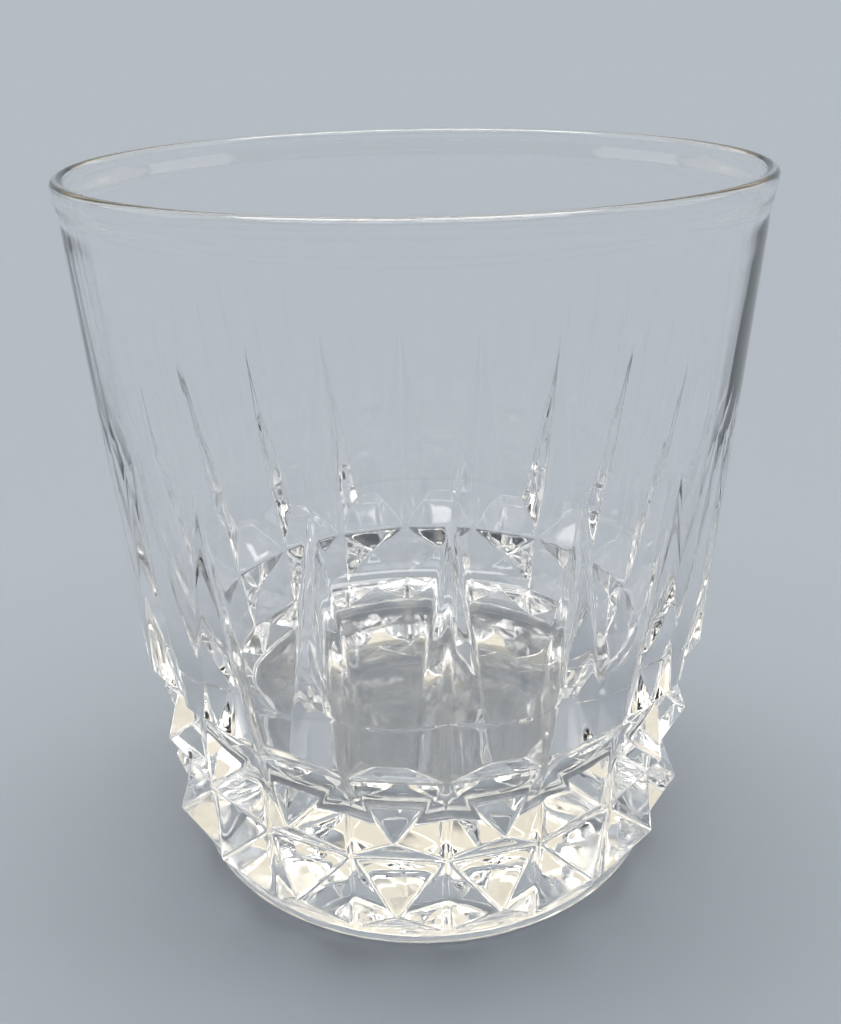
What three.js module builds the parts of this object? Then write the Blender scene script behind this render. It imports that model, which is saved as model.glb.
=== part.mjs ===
// Whiskey tumbler: one piece of pressed, fire-polished glass.
//
// Frame: millimetres, +Z up, origin on the axis in the plane of the foot.
// A panel of the pressed pattern faces -Y.
//
// The surface is built from horizontal rings. Around the glass the pattern
// repeats COLUMNS times, and every column is mirror-symmetric, so each ring
// is described by four slots on one side of a column's centre line:
//
//   valley  the groove between this column and the next
//   edge    where the groove's flank meets the panel or the next facet
//   mid     half way from the edge to the centre line
//   centre  the middle of the column
//
// An edge that runs into the valley or into the centre line closes a facet
// to a point, which is what makes the diamonds and the spear-shaped grooves.
import * as THREE from 'three';
import { mergeVertices } from 'three/addons/utils/BufferGeometryUtils.js';

const { mapLinear } = THREE.MathUtils;

// ---- driving dimensions, mm -------------------------------------------
const COLUMNS = 18; // diamonds and spear grooves around the glass
const HALF_COLUMN = Math.PI / COLUMNS; // as an angle

const HEIGHT = 96.0;
const RIM_RADIUS = 44.0; // outside of the lip
const LIP_THICKNESS = 1.7;
const LIP_STEPS = 4;

// the lip's bead fades into the plain tapered wall here
const BEAD_NECK = { z: HEIGHT - 5.5, radius: 43.42 };

// spear grooves cut into the wall, one between each pair of columns
const SPEAR_TOP_Z = 64.5; // where a groove runs out to a point
const SPEAR_FOOT_RADIUS = 37.0; // bottom of the groove where it is deepest
const WALL_FOOT = { z: 33.3, radius: 40.05 }; // panels at the grooves' widest level
const PANEL_FOOT_WIDTH = 3.7; // what is left of a panel there

// diamond rows: points standing out from a lattice of grooves
const NODE_TOP = { z: 27.55, radius: 35.6 };
const POINT_HIGH = { z: 21.2, radius: 39.07 };
const NODE_MIDDLE = { z: 15.25, radius: 34.97 };
const POINT_LOW = { z: 9.1, radius: 38.49 };
const NODE_BOTTOM = { z: 3.5, radius: 34.5 };

// underside and foot, from the axis outwards
const PUNT_DEPTH = 1.45; // shallow domed hollow, at the axis
const UNDERSIDE = [
  // hollow
  { z: 1.38, radius: 16.0 },
  { z: 1.02, radius: 21.5 },
  { z: 0.38, radius: 25.6 },
  // flat ring that the glass stands on
  { z: 0, radius: 28.6 },
  { z: 0, radius: 32.4 },
  // rounded outer edge of the foot
  { z: 0.3, radius: 33.5 },
  { z: 1.1, radius: 34.3 },
  { z: 2.4, radius: 34.62 },
];

// drink cavity, from the lip down
const CAVITY = [
  { z: 88.0, radius: 41.75 },
  { z: 64.0, radius: 39.75 },
  { z: 44.0, radius: 37.3 },
  { z: 36.0, radius: 35.5 },
];
const FLOOR_Z = 18.0;
const FILLET_RADIUS = 8.5;
const FILLET_STEPS = 5;
const FLOOR_EDGE_RADIUS = 33.4; // cavity radius where the fillet starts

const MERGE_TOLERANCE = 1e-3;

// ---- rings -------------------------------------------------------------
// A slot is [angle from the column's centre line, radius].
const ring = (z, valley, edge, mid, centre) => ({ z, slots: [valley, edge, mid, centre] });

const roundRing = ({ z, radius }) =>
  ring(z, [HALF_COLUMN, radius], [HALF_COLUMN, radius], [HALF_COLUMN / 2, radius], [0, radius]);

// straight grooves from node to node, so the radius dips between them
function nodeRing({ z, radius }) {
  const chordSlot = (angle) => [angle, (radius * Math.cos(HALF_COLUMN)) / Math.cos(angle)];
  const node = [HALF_COLUMN, radius];
  return ring(z, node, node, chordSlot(HALF_COLUMN / 2), chordSlot(0));
}

// a row of points, with the groove beside each on the line between its nodes
function pointRing({ z, radius }, below, above) {
  const grooveRadius = mapLinear(z, below.z, above.z, below.radius, above.radius);
  const point = [0, radius];
  return ring(z, [HALF_COLUMN, grooveRadius], point, point, point);
}

// the bottom of the panels, between the spear grooves
function panelFootRing() {
  const { z, radius } = WALL_FOOT;
  const edgeAngle = Math.asin(PANEL_FOOT_WIDTH / 2 / radius);
  return ring(z,
    [HALF_COLUMN, SPEAR_FOOT_RADIUS], [edgeAngle, radius], [edgeAngle / 2, radius], [0, radius]);
}

// where the spear grooves run out into the plain wall
function spearTopRing() {
  const radius = mapLinear(
    SPEAR_TOP_Z, WALL_FOOT.z, BEAD_NECK.z, WALL_FOOT.radius, BEAD_NECK.radius);
  return roundRing({ z: SPEAR_TOP_Z, radius });
}

// half circle over the lip, from outside to inside
function lipRings() {
  const bead = LIP_THICKNESS / 2;
  return Array.from({ length: LIP_STEPS + 1 }, (_, i) => {
    const angle = (Math.PI * i) / LIP_STEPS;
    return roundRing({
      z: HEIGHT - bead + bead * Math.sin(angle),
      radius: RIM_RADIUS - bead + bead * Math.cos(angle),
    });
  });
}

// quarter circle from the cavity wall down to the floor
function floorFilletRings() {
  return Array.from({ length: FILLET_STEPS + 1 }, (_, i) => {
    const angle = (Math.PI / 2) * (i / FILLET_STEPS);
    return roundRing({
      z: FLOOR_Z + FILLET_RADIUS * (1 - Math.sin(angle)),
      radius: FLOOR_EDGE_RADIUS - FILLET_RADIUS * (1 - Math.cos(angle)),
    });
  });
}

// out across the underside, up the outside, over the lip and down the cavity
const RINGS = [
  ...UNDERSIDE.map(roundRing),
  nodeRing(NODE_BOTTOM),
  pointRing(POINT_LOW, NODE_BOTTOM, NODE_MIDDLE),
  nodeRing(NODE_MIDDLE),
  pointRing(POINT_HIGH, NODE_MIDDLE, NODE_TOP),
  nodeRing(NODE_TOP),
  panelFootRing(),
  spearTopRing(),
  roundRing(BEAD_NECK),
  ...lipRings(),
  ...CAVITY.map(roundRing),
  ...floorFilletRings(),
];

// ---- one closed surface ------------------------------------------------
// Vertices run once around each ring: per column, from its valley across the
// centre line to the slot before the next valley.
const PER_COLUMN = 6;
const AROUND = COLUMNS * PER_COLUMN;

function ringPositions({ z, slots: [valley, edge, mid, centre] }) {
  const mirror = ([angle, radius]) => [-angle, radius];
  const column = [mirror(valley), mirror(edge), mirror(mid), centre, mid, edge];
  const positions = [];
  for (let c = 0; c < COLUMNS; c++) {
    const middle = -Math.PI / 2 + 2 * HALF_COLUMN * c;
    for (const [angle, radius] of column) {
      positions.push(radius * Math.cos(middle + angle), radius * Math.sin(middle + angle), z);
    }
  }
  return positions;
}

function surfaceIndex() {
  const index = [];
  const lastStart = (RINGS.length - 1) * AROUND;
  const puntCentre = RINGS.length * AROUND;
  const floorCentre = puntCentre + 1;

  for (let start = 0; start < lastStart; start += AROUND) {
    for (let i = 0; i < AROUND; i++) {
      const here = start + i;
      const next = start + ((i + 1) % AROUND);
      const hereAfter = here + AROUND; // same places on the following ring
      const nextAfter = next + AROUND;
      // the diagonal mirrors about each column's centre line
      if (i % PER_COLUMN < PER_COLUMN / 2) {
        index.push(here, next, nextAfter, here, nextAfter, hereAfter);
      } else {
        index.push(here, next, hereAfter, next, nextAfter, hereAfter);
      }
    }
  }
  for (let i = 0; i < AROUND; i++) {
    const next = (i + 1) % AROUND;
    index.push(next, i, puntCentre);
    index.push(lastStart + i, lastStart + next, floorCentre);
  }
  return index;
}

// slots that meet in a point leave empty triangles behind
function withoutEmptyTriangles(index) {
  const kept = [];
  for (let i = 0; i < index.length; i += 3) {
    const corners = index.slice(i, i + 3);
    if (new Set(corners).size === 3) kept.push(...corners);
  }
  return kept;
}

function tumblerGeometry() {
  const positions = RINGS.flatMap(ringPositions);
  positions.push(0, 0, PUNT_DEPTH);
  positions.push(0, 0, FLOOR_Z);

  const loose = new THREE.BufferGeometry();
  loose.setAttribute('position', new THREE.Float32BufferAttribute(positions, 3));
  loose.setIndex(surfaceIndex());

  const geometry = mergeVertices(loose, MERGE_TOLERANCE);
  geometry.setIndex(withoutEmptyTriangles(geometry.getIndex().array));
  geometry.computeVertexNormals();
  return geometry;
}

const glassMaterial = () => new THREE.MeshStandardMaterial({
  color: 0xf4f7f8,
  roughness: 0.03,
  metalness: 0.0,
  transparent: true,
  opacity: 0.35,
});

const body = new THREE.Mesh(tumblerGeometry(), glassMaterial());
body.name = 'glass_tumbler';

const tumbler = new THREE.Group();
tumbler.add(body);

export default tumbler;
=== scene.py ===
"""A whiskey tumbler of clear pressed glass.

It stands upright around the Z axis with its foot on z = 0, and one column of
its pressed pattern is centred on -Y. The glass is one closed mesh. Its outside
is a height field over azimuth and height: at every level the radius is the
outermost of the neighbouring cells of the pattern, and each cell is the
innermost of its flat facets, with both choices softened as fire polishing
softens a pressed edge. The vertices follow the creases, so each edge keeps an
even, narrow rounding.
"""
import math

import bpy
import numpy as np
from mathutils import Matrix, Vector


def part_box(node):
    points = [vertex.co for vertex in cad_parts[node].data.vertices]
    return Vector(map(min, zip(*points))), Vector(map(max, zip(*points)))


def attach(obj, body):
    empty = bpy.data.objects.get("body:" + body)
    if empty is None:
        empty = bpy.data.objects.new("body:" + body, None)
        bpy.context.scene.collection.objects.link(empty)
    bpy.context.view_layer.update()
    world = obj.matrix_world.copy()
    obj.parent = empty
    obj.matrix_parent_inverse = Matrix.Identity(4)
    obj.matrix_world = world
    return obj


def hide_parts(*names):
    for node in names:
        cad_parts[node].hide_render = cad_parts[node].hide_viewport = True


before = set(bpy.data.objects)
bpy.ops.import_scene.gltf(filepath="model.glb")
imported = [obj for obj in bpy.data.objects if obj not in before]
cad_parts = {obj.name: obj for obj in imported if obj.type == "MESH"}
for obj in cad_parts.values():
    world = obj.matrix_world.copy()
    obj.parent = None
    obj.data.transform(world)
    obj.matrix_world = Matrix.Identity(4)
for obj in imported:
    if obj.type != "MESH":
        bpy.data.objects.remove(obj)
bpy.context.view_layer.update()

MM = 0.001

# ---------------------------------------------------------------------------
# dimensions, mm; pairs are (z, radius)
# ---------------------------------------------------------------------------
COLUMNS = 18
HALF = math.pi / COLUMNS                    # half a column's angle

box_low, box_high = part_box("glass_tumbler")
HEIGHT = (box_high.z - box_low.z) / MM
RIM = (box_high.x - box_low.x) / 2 / MM
LIP = 0.85                                  # radius of the rounded lip
LIP_Z = HEIGHT - LIP                        # centre of that rounding
BEAD_Z, BEAD_NECK = 90.5, 43.42             # top of the straight wall, under the lip's bead

TIP_Z, TIP_R = 33.3, 40.05                  # foot of a panel, top row of points
PANEL_FOOT = 1.85                           # half width of a panel at its foot
SPEAR_TOP = 64.5                            # where the grooves between panels end
SPEAR_FOOT_R = 37.0

# nodes of the lattice lie in the grooves between columns, points on a column's centre
NODE_TOP = (27.55, 35.6)
POINT_HIGH = (21.2, 39.07)
NODE_MID = (15.25, 34.97)
POINT_LOW = (9.1, 38.49)
NODE_BASE = (2.9, 34.35)

FOOT_R, FOOT_Z, FOOT_ROUND = 32.32, 2.3, 2.3  # rounded foot: centre and radius
FACE_INNER = 28.6                           # inner radius of the flat ring it stands on
PUNT = [                                    # shallow dome inside that ring, (z, radius)
    (1.45, 3.0), (1.44, 10.0), (1.38, 16.0), (1.2, 19.8),
    (0.85, 22.8), (0.38, 25.6), (0.08, 27.6), (0.0, FACE_INNER),
]

CAVITY = [(88.0, 41.75), (64.0, 39.75), (44.0, 37.3), (36.0, 35.5)]  # inside wall
CAVITY_TOP = (LIP_Z - 1.6, RIM - 2 * LIP - 0.12)
FLOOR_Z, FILLET, FLOOR_R = 18.0, 8.5, 33.4  # inside floor, and its fillet's radius and top
PLUNGER_MARK = 37.0                         # faint step that the plunger left around the inside
PLUNGER_STEP = 0.08

# how far edges are softened
RIDGE = 0.40                                # between facets of a lower row
CROSS = 0.42                                # between rows
GROOVE = 0.62                               # between columns
PANEL_EDGE = 0.26                           # panel to spear facet
SHOULDER_EDGE = 0.34                        # shoulder to undercut
TIP_EDGE = 0.10                             # panel to the facets under it
FOOT_EDGE = 0.22                            # pattern to rounded foot


# ---------------------------------------------------------------------------
# the pressed pattern as a height field
# ---------------------------------------------------------------------------
def soft_min(first, second, width):
    share = np.clip(width - np.abs(first - second), 0, None) / width
    return np.minimum(first, second) - share * share * width * 0.25


def soft_max(first, second, width):
    return -soft_min(-first, -second, width)


def smooth(value, low, high):
    """0 below low, 1 above high, smooth in between."""
    share = np.clip((value - low) / (high - low), 0, 1)
    return share * share * (3 - 2 * share)


def plane(corner, second, third):
    """Facet through three points, as its normal and offset."""
    normal = np.cross(np.subtract(second, corner), np.subtract(third, corner))
    return normal, float(normal @ np.array(corner, float))


def tilted(lower, upper):
    """Facet square to a column's centre, through two (z, y) pairs with y pointing outward."""
    slope = (upper[1] - lower[1]) / (upper[0] - lower[0])
    return np.array([0.0, 1.0, -slope]), lower[1] - slope * lower[0]


def reach(facet, angle, z):
    """Radius at which a ray at an angle from the column's centre meets a facet."""
    normal, offset = facet
    return (offset - normal[2] * z) / (normal[0] * np.sin(angle) + normal[1] * np.cos(angle))


def in_groove(pair):
    """Place, in a column's own x, y, z, of a (z, radius) pair in its groove."""
    z, radius = pair
    return (radius * math.sin(HALF), radius * math.cos(HALF), z)


def on_centre(pair):
    z, radius = pair
    return (0, radius, z)


def chord(pair):
    return (pair[0], pair[1] * math.cos(HALF))


def wall(z):
    """Radius of the straight tapering wall."""
    return TIP_R + (BEAD_NECK - TIP_R) * (z - TIP_Z) / (BEAD_Z - TIP_Z)


def row_facets(point, above, below):
    """The side, upper and lower facets that meet at a point between two nodes."""
    return (plane(on_centre(point), in_groove(below), in_groove(above)),
            tilted(point, chord(above)), tilted(point, chord(below)))


ROWS = [row_facets(POINT_LOW, NODE_MID, NODE_BASE), row_facets(POINT_HIGH, NODE_TOP, NODE_MID)]
panel_corner = (PANEL_FOOT, math.sqrt(TIP_R ** 2 - PANEL_FOOT ** 2), TIP_Z)
spear_foot = in_groove((TIP_Z, SPEAR_FOOT_R))
SPEAR = plane(in_groove((SPEAR_TOP, wall(SPEAR_TOP))), spear_foot, panel_corner)
SHOULDER = plane(spear_foot, in_groove(NODE_TOP), panel_corner)
UNDERCUT = tilted((TIP_Z, panel_corner[1]), chord(NODE_TOP))


def column(angle, z):
    """Radius of one column of the pattern, carried on past its own sides."""
    rows = []
    for side, above, below in ROWS:
        radius = soft_min(reach(above, angle, z), reach(below, angle, z), RIDGE)
        rows.append(soft_min(radius, reach(side, angle, z), RIDGE))
    panel = soft_min(wall(z), reach(SPEAR, angle, z), PANEL_EDGE)
    lower = soft_min(reach(SHOULDER, angle, z), reach(UNDERCUT, angle, z), SHOULDER_EDGE)
    foot = 0.0
    if z <= FOOT_Z + FOOT_ROUND * 0.95:
        foot = FOOT_R + math.sqrt(FOOT_ROUND ** 2 - (z - FOOT_Z) ** 2)
    radius = soft_max(rows[0], rows[1], CROSS)
    radius = soft_max(radius, soft_min(panel, lower, TIP_EDGE), CROSS)
    return soft_max(radius, foot, FOOT_EDGE)


def outside(angle, z):
    """Radius of the outside at one level, for angles from a column's centre to its groove."""
    if z > SPEAR_TOP + 1.0:
        return np.full_like(angle, wall(z))
    fade = np.clip((SPEAR_TOP + 0.6 - z) / 8.0, 0.03, 1.0)  # grooves sharpen towards their tops
    return soft_max(column(angle, z), column(2 * HALF - angle, z), GROOVE * fade)


CREASE_TURNS = [  # (z, share of the half column), straight in between
    (NODE_BASE[0], 1.0), (POINT_LOW[0], 0.0), (NODE_MID[0], 1.0),
    (POINT_HIGH[0], 0.0), (NODE_TOP[0], 1.0), (TIP_Z, math.asin(PANEL_FOOT / TIP_R) / HALF),
]


def crease(z):
    """Where facets meet at this level, as a share of the half column: 1 at the groove."""
    if z >= SPEAR_TOP:
        return 1.0
    if z < TIP_Z:
        return np.interp(z, *zip(*CREASE_TURNS))
    inner, outer = 0.0, HALF                # halve in on the edge between panel and spear
    for _ in range(40):
        middle = (inner + outer) / 2
        if reach(SPEAR, middle, z) > wall(z):
            inner = middle
        else:
            outer = middle
    return inner / HALF


# ---------------------------------------------------------------------------
# rings of vertices
# ---------------------------------------------------------------------------
# arc distances of vertices from a groove and from a crease, mm
NEAR_GROOVE = [0.0, 0.14, 0.30, 0.50, 0.80]
NEAR_EDGE = [0.0, 0.13, 0.27, 0.44, 0.72]
FACE_ROOM, PANEL_ROOM = 1.9, 1.2            # arcs narrower than these squeeze those distances
CREASE_MARGIN = 0.22                        # least distance of the crease from centre and groove
HALF_ARC = HALF * 38.0                      # arc of half a column, at a middling radius


def between(start, end, count):
    return [start + (end - start) * i / (count + 1) for i in range(1, count + 1)]


def half_slots(z):
    """Arc distances from the column's centre to the groove, closest together at the creases."""
    edge = min(max(crease(z) * HALF_ARC, CREASE_MARGIN), HALF_ARC - CREASE_MARGIN)
    face_squeeze = min(1.0, (HALF_ARC - edge) / FACE_ROOM)
    panel_squeeze = min(1.0, edge / PANEL_ROOM)
    panel = [edge - d * panel_squeeze for d in reversed(NEAR_EDGE)]
    face = [edge + d * face_squeeze for d in NEAR_EDGE[1:]]
    groove = [HALF_ARC - d * face_squeeze for d in reversed(NEAR_GROOVE)]
    return ([0.0] + between(0.0, panel[0], 3) + panel
            + face + between(face[-1], groove[0], 2) + groove)


HALF_SLOTS = len(half_slots(TIP_Z)) - 1
AROUND = COLUMNS * 2 * HALF_SLOTS           # vertices around the pattern
PLAIN_AROUND = AROUND // 2                  # around the plain wall, lip and cavity
INNER_AROUND = AROUND // 4                  # around the underside and inside floor


def circle(angle, radius, z):
    return np.stack([radius * np.cos(angle), radius * np.sin(angle), np.full(len(angle), z)], 1)


def pattern_ring(z):
    shares = np.array(half_slots(z)) / HALF_ARC
    if z > SPEAR_TOP - 1.0:                 # even out above the grooves
        even = np.linspace(0, 1, HALF_SLOTS + 1)
        blend = min(1.0, (z - SPEAR_TOP + 1.0) / 6.0)
        shares = shares * (1 - blend) + even * blend
    half_angle = shares * HALF
    half_radius = outside(half_angle, z)
    angle = np.concatenate([-half_angle[:0:-1], half_angle[:-1]])
    radius = np.concatenate([half_radius[:0:-1], half_radius[:-1]])
    centres = -math.pi / 2 + 2 * HALF * np.arange(COLUMNS)
    return circle((centres[:, None] + angle[None, :]).ravel(), np.tile(radius, COLUMNS), z)


def plain_ring(z, radius, around, waves=None, share=1.0):
    """A circle that starts at the same azimuth as the pattern's rings."""
    angle = -math.pi / 2 - HALF + 2 * math.pi * np.arange(around) / around
    if waves is not None:
        number, twist, phase, depth = waves
        waviness = (depth * np.sin(np.outer(angle, number) + twist * z + phase)).sum(1)
        radius = radius + share * waviness
    return circle(angle, radius, z)


def drawn_waves(seed, most, depth):
    """Waviness of a pressed, fire-polished plain wall: short around, long up and down.

    Gives each wave's number around, twist per mm of height, phase and depth in mm.
    """
    rng = np.random.default_rng(seed)
    number = np.array([k for k in range(3, most + 1) if k < 12 or k % 3 == seed % 3])
    count = len(number)
    return (number,
            rng.normal(0, 0.035, count) * (number / 8) ** 0.5,
            rng.uniform(0, 2 * math.pi, count),
            depth * rng.uniform(0.5, 1.0, count) * (8 / number) ** 1.1)


OUTER_WAVES = drawn_waves(seed=11, most=60, depth=0.006)
INNER_WAVES = drawn_waves(seed=23, most=30, depth=0.010)


def levels():
    """Heights of the pattern's rings, bunched around the rows of nodes and points."""
    marks = [NODE_BASE[0] + 0.6, POINT_LOW[0], NODE_MID[0], POINT_HIGH[0], NODE_TOP[0], TIP_Z]
    spread = (-0.62, -0.34, -0.15, 0.0, 0.15, 0.34, 0.62)
    bunched = [round(mark + d, 4) for mark in marks for d in spread]
    grooves_end = SPEAR_TOP - 2
    grid = [FOOT_Z + 0.05]
    for start, end in zip(bunched, bunched[1:] + [grooves_end]):
        step = 0.95 if start < TIP_Z else 2.4
        parts = math.ceil((end - start) / step)
        grid += [start + (end - start) * i / parts for i in range(parts)]
    grid += [grooves_end + i * 0.5 for i in range(8)]
    return [round(z, 4) for z in grid]


def smooth_profile(points, step):
    """Catmull-Rom through (z, radius) points, sampled about every step mm."""
    p = np.array(points, float)
    p = np.vstack([2 * p[0] - p[1], p, 2 * p[-1] - p[-2]])
    out = []
    for i in range(1, len(p) - 2):
        count = max(1, int(round(np.linalg.norm(p[i + 1] - p[i]) / step)))
        for j in range(count):
            t = j / count
            out.append(0.5 * ((2 * p[i]) + (-p[i - 1] + p[i + 1]) * t
                              + (2 * p[i - 1] - 5 * p[i] + 4 * p[i + 1] - p[i + 2]) * t * t
                              + (-p[i - 1] + 3 * p[i] - 3 * p[i + 1] + p[i + 2]) * t ** 3))
    out.append(p[-2])
    return [tuple(q) for q in out]


def arc_rings(centre_z, centre_r, rounding, angles, around):
    return [plain_ring(centre_z + rounding * math.sin(a), centre_r + rounding * math.cos(a), around)
            for a in angles]


def underside_rings():
    """Punt, standing ring and rounded foot, from the middle outward."""
    profile = [(max(z, 0.0), radius) for z, radius in smooth_profile(PUNT, 1.3)]
    profile += [(0.0, FACE_INNER + 1.0), (0.0, FOOT_R - 1.2)]
    rings = [plain_ring(z, radius, INNER_AROUND) for z, radius in profile]
    quarter = np.linspace(-math.pi / 2, 0, 9)[:-1]
    return rings + arc_rings(FOOT_Z, FOOT_R, FOOT_ROUND, quarter, AROUND)


def wall_rings():
    """Plain wall, the lip's bead and the rounded lip, upward."""
    rings = []
    for z in np.linspace(68.6, BEAD_Z - 3, 15):
        rings.append(plain_ring(z, wall(z), PLAIN_AROUND, OUTER_WAVES, smooth(z, 67, 74)))
    bead = [(BEAD_Z - 1.5, wall(BEAD_Z - 1.5)), (BEAD_Z + 1.2, wall(BEAD_Z) + 0.02),
            (BEAD_Z + 3.2, RIM - 0.16), (LIP_Z, RIM)]
    for z, radius in smooth_profile(bead, 0.8)[:-1]:
        share = 1 - smooth(z, BEAD_Z, LIP_Z - 0.5)
        rings.append(plain_ring(z, radius, PLAIN_AROUND, OUTER_WAVES, share))
    return rings + arc_rings(LIP_Z, RIM - LIP, LIP, np.linspace(0, math.pi, 15), PLAIN_AROUND)


def cavity_rings():
    """Inside wall, fillet and floor, downward and then inward."""
    fillet_top = FLOOR_Z + FILLET
    outline = [CAVITY_TOP] + CAVITY + [(fillet_top, FLOOR_R)]
    profile = np.array(smooth_profile(outline, 1.9)[:-1])
    heights = [z for z in profile[:, 0] if abs(z - PLUNGER_MARK) > 0.9]
    heights += [PLUNGER_MARK + d for d in (-0.8, -0.45, -0.25, -0.1, 0.05, 0.2, 0.4, 0.8)]
    rings = []
    for z in sorted(heights, reverse=True):
        radius = np.interp(z, profile[::-1, 0], profile[::-1, 1])
        radius += PLUNGER_STEP * smooth(z, PLUNGER_MARK - 0.35, PLUNGER_MARK + 0.35)
        share = smooth(z, fillet_top, 38.0) * (1 - smooth(z, CAVITY[0][0], CAVITY_TOP[0]))
        rings.append(plain_ring(z, radius, INNER_AROUND * 2, INNER_WAVES, share))
    quarter = np.linspace(0, -math.pi / 2, 13)
    rings += arc_rings(fillet_top, FLOOR_R - FILLET, FILLET, quarter, INNER_AROUND)
    for radius in np.linspace(FLOOR_R - FILLET, 3.0, 9)[1:]:
        rings.append(plain_ring(FLOOR_Z, radius, INNER_AROUND))
    return rings


def stitch(faces, start_a, count_a, start_b, count_b):
    """Faces between rings a and b, where one may have a multiple of the other's vertices."""
    if count_a == count_b:
        for i in range(count_a):
            j = (i + 1) % count_a
            faces.append((start_a + i, start_a + j, start_b + j, start_b + i))
        return
    a_finer = count_a > count_b
    coarse, fine = sorted((count_a, count_b))
    ratio = fine // coarse
    for i in range(coarse):
        j = (i + 1) % coarse
        for k in range(ratio):
            this = i * ratio + k
            following = (this + 1) % fine
            near = i if k < ratio // 2 else j
            if a_finer:
                faces.append((start_a + this, start_a + following, start_b + near))
            else:
                faces.append((start_a + near, start_b + following, start_b + this))
        middle = i * ratio + ratio // 2
        if a_finer:
            faces.append((start_b + i, start_a + middle, start_b + j))
        else:
            faces.append((start_a + i, start_a + j, start_b + middle))


def glass_mesh():
    """Up the outside from the middle of the underside, over the lip, to the inside floor."""
    rings = underside_rings() + [pattern_ring(z) for z in levels()] + wall_rings() + cavity_rings()
    counts = [len(ring) for ring in rings]
    starts = [sum(counts[:k]) for k in range(len(counts))]
    faces = []
    for k in range(len(rings) - 1):
        stitch(faces, starts[k], counts[k], starts[k + 1], counts[k + 1])
    under = sum(counts)
    floor = under + 1
    verts = np.vstack(rings + [[[0, 0, PUNT[0][0]], [0, 0, FLOOR_Z]]])
    for i in range(INNER_AROUND):
        faces.append((starts[0] + (i + 1) % INNER_AROUND, starts[0] + i, under))
    for i in range(INNER_AROUND):
        faces.append((starts[-1] + i, starts[-1] + (i + 1) % INNER_AROUND, floor))
    return verts * MM, faces


def build_tumbler():
    verts, faces = glass_mesh()
    mesh = bpy.data.meshes.new("tumbler_glass")
    mesh.from_pydata(verts.tolist(), [], faces)
    mesh.validate()
    mesh.update()
    mesh.polygons.foreach_set("use_smooth", [True] * len(mesh.polygons))
    tumbler = bpy.data.objects.new("tumbler_glass", mesh)
    bpy.context.scene.collection.objects.link(tumbler)
    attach(tumbler, "root")
    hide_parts("glass_tumbler")
    mesh.materials.append(clear_glass())


# ---------------------------------------------------------------------------
# materials
# ---------------------------------------------------------------------------
class Nodes:
    """Short calls for building the node tree of a material or world."""

    def __init__(self, owner):
        owner.use_nodes = True
        self.tree = owner.node_tree

    def fill(self, node, inputs):
        """Link or set inputs, given by name or number."""
        for key, value in inputs.items():
            if isinstance(value, bpy.types.NodeSocket):
                self.tree.links.new(value, node.inputs[key])
            else:
                node.inputs[key].default_value = value

    def add(self, kind, inputs={}, **settings):
        node = self.tree.nodes.new(kind)
        for name, value in settings.items():
            setattr(node, name, value)
        self.fill(node, inputs)
        return node

    def math(self, operation, *values):
        inputs = dict(enumerate((*values, 0.0, 0.0)[:3]))
        return self.add("ShaderNodeMath", inputs, operation=operation).outputs[0]

    def scaled(self, value, by, plus=None):
        if plus is None:
            return self.math("MULTIPLY", value, by)
        return self.math("MULTIPLY_ADD", value, by, plus)

    def dot(self, first, second):
        node = self.add("ShaderNodeVectorMath", {0: first, 1: second}, operation="DOT_PRODUCT")
        return node.outputs["Value"]

    def height(self, vector):
        return self.add("ShaderNodeSeparateXYZ", {0: vector}).outputs["Z"]

    def step(self, value, low, high):
        """0 below low, 1 above high, smooth in between; low above high falls instead."""
        inputs = {"Value": value, "From Min": low, "From Max": high, "To Min": 0.0, "To Max": 1.0}
        return self.add("ShaderNodeMapRange", inputs, interpolation_type="SMOOTHSTEP").outputs[0]

    def mix(self, share, first, second):
        inputs = {0: share, 6: first, 7: second}
        return self.add("ShaderNodeMix", inputs, data_type="RGBA").outputs[2]

    def noise(self, vector, scale, detail, rough, squash=(1, 1, 1)):
        place = self.add("ShaderNodeMapping", {"Vector": vector, "Scale": squash})
        return self.add("ShaderNodeTexNoise", {
            "Vector": place.outputs[0], "Scale": scale, "Detail": detail, "Roughness": rough,
        }).outputs["Fac"]


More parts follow.
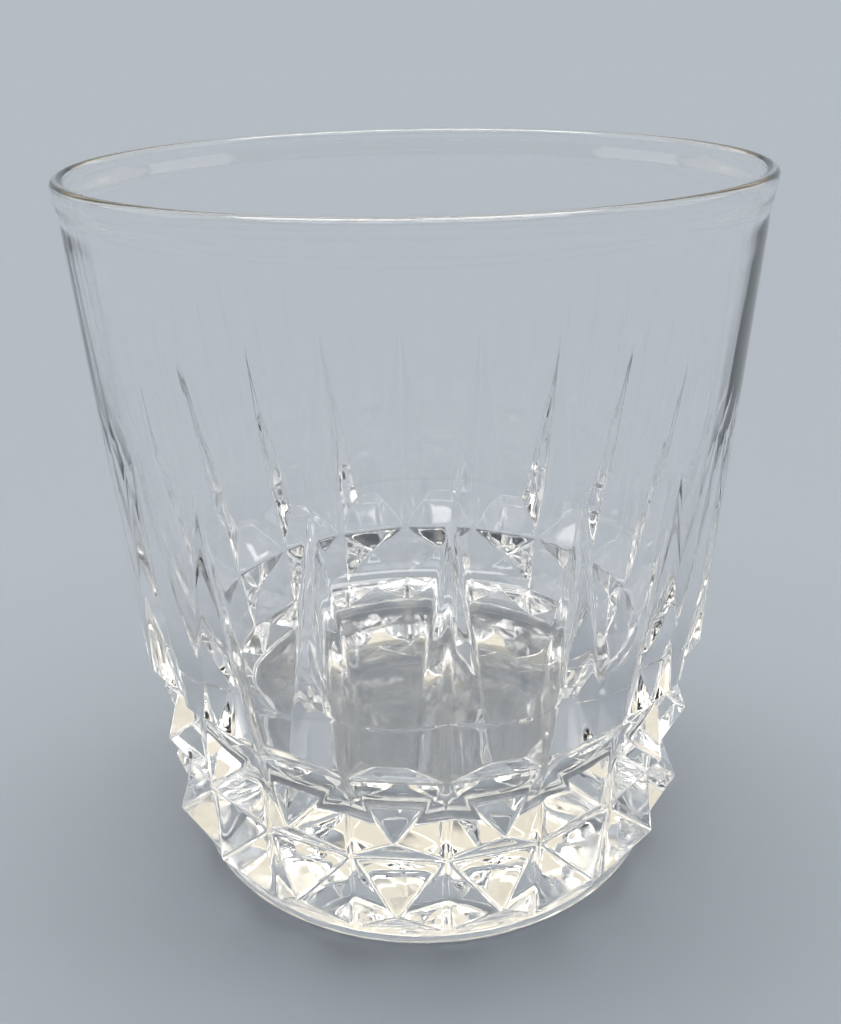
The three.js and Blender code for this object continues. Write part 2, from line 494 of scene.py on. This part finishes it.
def clear_glass():
    """Pressed soda-lime glass: fire-polished, faintly drawn up and down, lightly used."""
    mat = bpy.data.materials.new("clear_glass")
    n = Nodes(mat)
    at = n.add("ShaderNodeTexCoord").outputs["Object"]
    height = n.height(at)

    # striae: streaks several times longer than wide, strongest on the wall
    streaks = n.noise(at, scale=380.0, detail=1.0, rough=0.4, squash=(1, 1, 0.05))
    broad = n.noise(at, scale=110.0, detail=1.0, rough=0.4, squash=(1, 1, 0.16))
    on_wall = n.step(height, low=0.026, high=0.045)
    bump = n.add("ShaderNodeBump", {
        "Strength": n.scaled(on_wall, by=0.035, plus=0.025),
        "Distance": 0.0006,
        "Height": n.scaled(streaks, by=0.35, plus=n.scaled(broad, by=0.65)),
    })

    # fire polish is glossy; handling leaves the lip and the standing ring a little duller
    wear = n.noise(at, scale=260.0, detail=4.0, rough=0.6)
    foot = n.scaled(n.step(height, low=0.0012, high=0.0), by=n.step(wear, low=0.42, high=0.6))
    lip = n.scaled(n.step(height, low=0.0938, high=0.0952), by=n.scaled(wear, by=0.5, plus=0.75))
    patches = n.scaled(n.step(wear, low=0.5, high=0.75), by=0.006)
    worn = n.scaled(lip, by=0.08, plus=patches)
    n.fill(n.tree.nodes["Principled BSDF"], {
        "Base Color": (1, 1, 1, 1),
        "IOR": 1.52,
        "Transmission Weight": 1.0,
        "Normal": bump.outputs["Normal"],
        "Roughness": n.scaled(foot, by=0.16, plus=worn),
    })

    # the colour of the metal itself: almost none, a breath of green through thick glass
    metal = n.add("ShaderNodeVolumeAbsorption", {
        "Color": (0.955, 0.985, 0.975, 1), "Density": 2.2,
    })
    n.fill(n.tree.nodes["Material Output"], {"Volume": metal.outputs[0]})
    return mat


build_tumbler()

# ---------------------------------------------------------------------------
# floor and light
# ---------------------------------------------------------------------------
FLOOR_COLOUR = (0.225, 0.252, 0.287)
ROOM = (0.035, 0.04, 0.05)
WARM, PLAIN, COOL = (1.0, 0.925, 0.76), (1.0, 0.97, 0.93), (0.88, 0.94, 1.0)
SWEEP = (0.20, 0.29)       # sine of the elevation where the pale sweep starts and ends fading
FACING = (0.02, 0.1)       # cosine from a box's centre over which the box comes in
SKY_STEP = 0.5             # degrees between samples of the studio
BOXES = [  # azimuth and elevation in degrees; half width, half height, softness; tint, power
    (96, 41, 1.50, 0.475, 0.04, WARM, 0.90),   # behind the glass
    (96, 24, 0.75, 0.05, 0.02, WARM, 1.7),
    (96, 74, 0.62, 0.11, 0.03, PLAIN, 12.0),
    (182, 38, 0.34, 0.41, 0.03, PLAIN, 1.6),   # the camera's left
    (10, 38, 0.34, 0.41, 0.03, PLAIN, 1.6),    # the camera's right
    (-84, 52, 0.50, 0.12, 0.03, COOL, 1.6),    # the camera's own side
    (-84, 66, 0.70, 0.06, 0.02, PLAIN, 7.0),
    (0, 90, 0.10, 0.60, 0.02, PLAIN, 7.0),     # overhead
]


def box_axes(azimuth, elevation):
    a, e = math.radians(azimuth), math.radians(elevation)
    ahead = Vector((math.cos(a) * math.cos(e), math.sin(a) * math.cos(e), math.sin(e)))
    side = Vector((-math.sin(a), math.cos(a), 0))
    return ahead, side, ahead.cross(side)


def horizon_colour():
    """The floor's own brightness in the studio, so the far floor meets the sweep without an edge."""
    el, az = np.meshgrid(np.radians(np.arange(SKY_STEP / 2, 90, SKY_STEP)),
                         np.radians(np.arange(SKY_STEP / 2, 360, SKY_STEP)), indexing="ij")
    ray = np.stack([np.cos(az) * np.cos(el), np.sin(az) * np.cos(el), np.sin(el)], -1)
    weight = np.sin(el) * np.cos(el) * math.radians(SKY_STEP) ** 2 / math.pi
    sweep = 1 - smooth(ray[..., 2], *SWEEP)
    light = (1 - sweep)[..., None] * np.array(ROOM)
    for azimuth, elevation, wide, tall, soft, tint, power in BOXES:
        ahead, side, top = (np.array(v) for v in box_axes(azimuth, elevation))
        along = ray @ ahead
        depth = np.maximum(along, FACING[0])
        inside = ((1 - smooth(abs(ray @ side) / depth, wide - soft, wide + soft))
                  * (1 - smooth(abs(ray @ top) / depth, tall - soft, tall + soft))
                  * smooth(along, *FACING))
        light = light * (1 - inside[..., None]) + inside[..., None] * np.array(tint) * power
        sweep = sweep * (1 - inside)
    direct = (light * weight[..., None]).sum((0, 1))
    own = float((sweep * weight).sum())
    albedo = np.array(FLOOR_COLOUR)
    return (albedo * direct / (1 - albedo * own)).tolist()


def floor_paint():
    """Matt paint that thins out far from the glass, where the backdrop is as bright."""
    mat = bpy.data.materials.new("floor")
    n = Nodes(mat)
    paint = n.tree.nodes["Principled BSDF"]
    n.fill(paint, {
        "Base Color": (*FLOOR_COLOUR, 1), "Roughness": 1.0, "Specular IOR Level": 0.0,
    })
    at = n.add("ShaderNodeTexCoord").outputs["Object"]
    away = n.add("ShaderNodeVectorMath", {0: at}, operation="LENGTH").outputs["Value"]
    fade = n.add("ShaderNodeMixShader", {
        0: n.step(away, low=0.9, high=2.7),
        1: paint.outputs[0],
        2: n.add("ShaderNodeBsdfTransparent").outputs[0],
    })
    n.fill(n.tree.nodes["Material Output"], {"Surface": fade.outputs[0]})
    return mat


def build_floor():
    bpy.ops.mesh.primitive_circle_add(vertices=96, radius=3.0, fill_type="NGON",
                                      location=(0, 0, -0.00015))
    ground = bpy.context.object
    ground.name = "floor"
    ground.data.materials.append(floor_paint())


def studio():
    """Soft boxes around a pale sweep, as directions only, so the floor is lit evenly far out."""
    world = bpy.data.worlds.new("studio")
    bpy.context.scene.world = world
    n = Nodes(world)
    horizon = horizon_colour()
    ray = n.add("ShaderNodeTexCoord").outputs["Generated"]
    height = n.height(ray)
    colour = n.mix(n.step(height, *SWEEP), (*horizon, 1), (*ROOM, 1))
    for azimuth, elevation, wide, tall, soft, tint, power in BOXES:
        ahead, side, top = box_axes(azimuth, elevation)
        along = n.dot(ray, ahead)
        depth = n.math("MAXIMUM", along, FACING[0])
        x = n.math("ABSOLUTE", n.math("DIVIDE", n.dot(ray, side), depth))
        y = n.math("ABSOLUTE", n.math("DIVIDE", n.dot(ray, top), depth))
        inside = n.scaled(n.step(x, wide + soft, wide - soft),
                          by=n.step(y, tall + soft, tall - soft))
        inside = n.scaled(inside, by=n.step(along, *FACING))
        colour = n.mix(inside, colour, (*(power * c for c in tint), 1))
    # what is seen past the glass is a plain backdrop, a little lighter higher up
    lighter = [1.12 * c for c in horizon]
    plain = n.mix(n.step(height, low=0.02, high=0.5), (*horizon, 1), (*lighter, 1))
    seen = n.add("ShaderNodeLightPath").outputs["Is Camera Ray"]
    n.fill(n.tree.nodes["Background"], {"Color": n.mix(seen, colour, plain)})
    world.cycles.sampling_method = "MANUAL"
    world.cycles.sample_map_resolution = 512


build_floor()
studio()

# ---------------------------------------------------------------------------
# camera: a little to the right of the middle of a panel, close to the glass
# and looking down over its lip
# ---------------------------------------------------------------------------
DISTANCE, EYE = 146.03, 112.54              # from the glass's axis, and above the floor, mm
PITCH, ROLL = 0.4170, -0.0178               # downward tilt and roll, radians
TURN = math.radians(5.80)                   # around the glass, from -Y towards +X
LENS, SENSOR = 47.98145, 36.0               # focal length and sensor width, mm


def build_camera():
    ahead = Vector((0, math.cos(PITCH), -math.sin(PITCH)))
    level = Vector((1, 0, 0))
    upright = level.cross(ahead)
    right = level * math.cos(ROLL) + upright * math.sin(ROLL)
    up = upright * math.cos(ROLL) - level * math.sin(ROLL)
    pose = Matrix((right, up, -ahead)).transposed().to_4x4()
    pose.translation = Vector((0, -DISTANCE, EYE)) * MM
    data = bpy.data.cameras.new("camera")
    data.sensor_fit = "HORIZONTAL"
    data.sensor_width = SENSOR
    data.lens = LENS
    data.clip_start = 0.005
    camera = bpy.data.objects.new("camera", data)
    camera.matrix_world = Matrix.Rotation(TURN, 4, "Z") @ pose
    bpy.context.scene.collection.objects.link(camera)
    bpy.context.scene.camera = camera


build_camera()

scene = bpy.context.scene
scene.cycles.max_bounces = 24
scene.cycles.transmission_bounces = 20
scene.cycles.glossy_bounces = 12
scene.cycles.diffuse_bounces = 4
scene.cycles.use_denoising = True
scene.view_settings.view_transform = "Standard"
scene.view_settings.look = "None"
